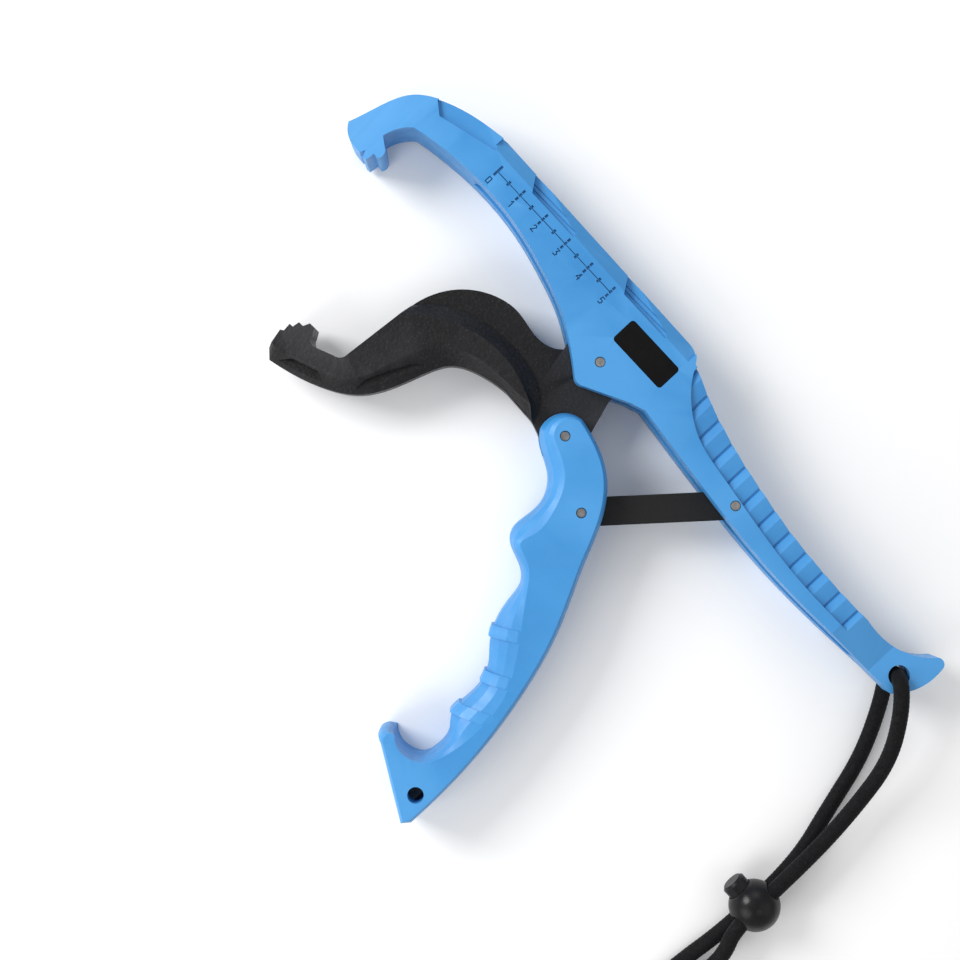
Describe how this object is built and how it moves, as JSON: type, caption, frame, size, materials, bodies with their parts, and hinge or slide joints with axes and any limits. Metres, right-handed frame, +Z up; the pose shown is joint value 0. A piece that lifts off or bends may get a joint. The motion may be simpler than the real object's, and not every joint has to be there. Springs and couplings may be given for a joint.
{
  "type": "lip grip",
  "caption": "Hand-squeezed fish lip grip: ribbed handle with fixed hooked jaw, swinging dark jaw on a link and trigger, wrist lanyard with ball cord lock.",
  "frame": {"origin": "on the jaw pivot's axis, in the plane of the flat back that lies on the table", "axes": "+X along the frame towards its tail, +Y towards the ribbed outer edge, +Z up out of the front face"},
  "size_m": [0.2707, 0.1899, 0.022],
  "materials": {
    "blue_plastic": "smooth moulded, satin",
    "black_plastic": "fine speckled texture, matte",
    "black_link": "matte",
    "pin_steel": "dull steel ends",
    "screw_steel": "plain steel",
    "label_black": "flat black",
    "black_cord": "braided",
    "lock_plastic": "satin"
  },
  "bodies": {
    "frame": {"frame_front_shell": "blue_plastic", "frame_back_shell": "blue_plastic", "jaw_pivot_pin": "pin_steel", "link_frame_pin": "pin_steel", "label_plate": "label_black", "shell_screw_1": "screw_steel", "shell_screw_2": "screw_steel", "shell_screw_3": "screw_steel", "shell_screw_4": "screw_steel", "shell_screw_5": "screw_steel", "shell_screw_6": "screw_steel", "lanyard_top_strand": "black_cord", "lanyard_under_strand": "black_cord", "lanyard_knot": "black_cord", "cord_lock_body": "lock_plastic"},
    "jaw": {"jaw": "black_plastic"},
    "trigger": {"trigger": "blue_plastic", "trigger_pivot_pin": "pin_steel", "link_trigger_pin": "pin_steel"},
    "link": {"link_bar": "black_link"},
    "lock_button": {"cord_lock_button": "lock_plastic"}
  },
  "joints": [
    {"name": "jaw_pivot", "type": "hinge", "parent": "frame", "child": "jaw", "pos_m": [0, 0, 0.011], "axis": [0, 0, -1], "range_deg": [0, 30]},
    {"name": "trigger_pivot", "type": "hinge", "parent": "jaw", "child": "trigger", "pos_m": [0.0091, -0.0228, 0.011], "axis": [0, 0, 1], "range_deg": [0, 60]},
    {"name": "link_pivot", "type": "hinge", "parent": "frame", "child": "link", "pos_m": [0.0593, 0.0003, 0.011], "axis": [0, 0, -1], "range_deg": [0, 18]},
    {"name": "lock_button_push", "type": "slide", "parent": "frame", "child": "lock_button", "axis": [1, 0, 0], "range_m": [0, 0.0015], "stiffness_N_per_m": 400}
  ],
  "couplings": [
    {"joint": "trigger_pivot", "follows": "jaw_pivot", "ratio": 1.96},
    {"joint": "link_pivot", "follows": "jaw_pivot", "ratio": 0.52}
  ]
}
